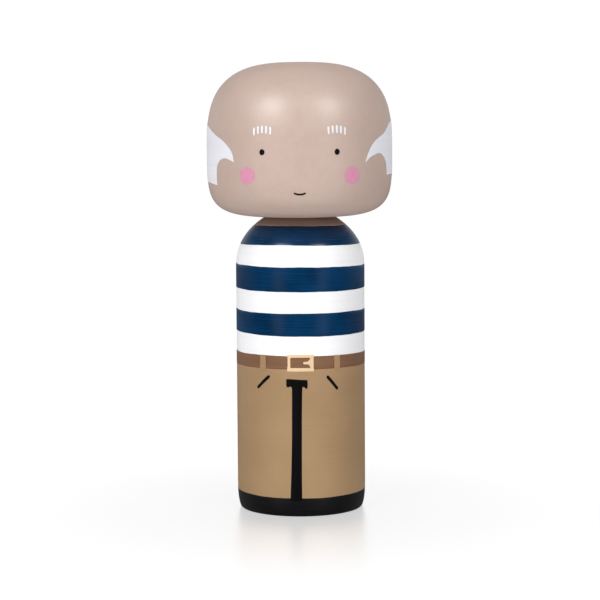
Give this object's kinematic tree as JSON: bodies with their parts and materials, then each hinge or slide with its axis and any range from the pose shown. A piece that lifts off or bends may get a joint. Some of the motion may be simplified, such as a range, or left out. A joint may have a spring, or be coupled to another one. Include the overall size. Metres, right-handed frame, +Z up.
{
  "type": "kokeshi doll",
  "caption": "Turned-wood kokeshi doll: a broad rounded head that turns by hand on a dowel glued in a straight, dome-shouldered body, with a flat base to stand on.",
  "frame": {"origin": "centre of the flat base, on the surface that the doll stands on", "axes": "+Z up along the turning axis of body, dowel and head; the doll looks along -Y, and +X is to the right of a person who faces it"},
  "size_m": [0.06, 0.06, 0.1452],
  "materials": {
    "shirt_paint": "white satin paint on turned wood",
    "skin_paint": "rose-beige satin paint on turned wood",
    "bare_wood": "bare turned hardwood",
    "navy_paint": "navy satin paint on wood",
    "trouser_paint": "khaki satin paint on wood",
    "belt_paint": "brown satin paint on wood",
    "buckle_paint": "pale gold satin paint on wood",
    "black_paint": "black satin paint on wood",
    "white_paint": "white satin paint on wood",
    "cheek_paint": "pink satin paint on wood"
  },
  "bodies": {
    "body": {"body": "shirt_paint", "neck_dowel": "bare_wood"},
    "head": {"head": "skin_paint"}
  },
  "joints": [
    {"name": "head_turn", "type": "hinge", "parent": "body", "child": "head", "pos_m": [0, 0, 0.0954], "axis": [0, 0, 1], "continuous": true}
  ]
}
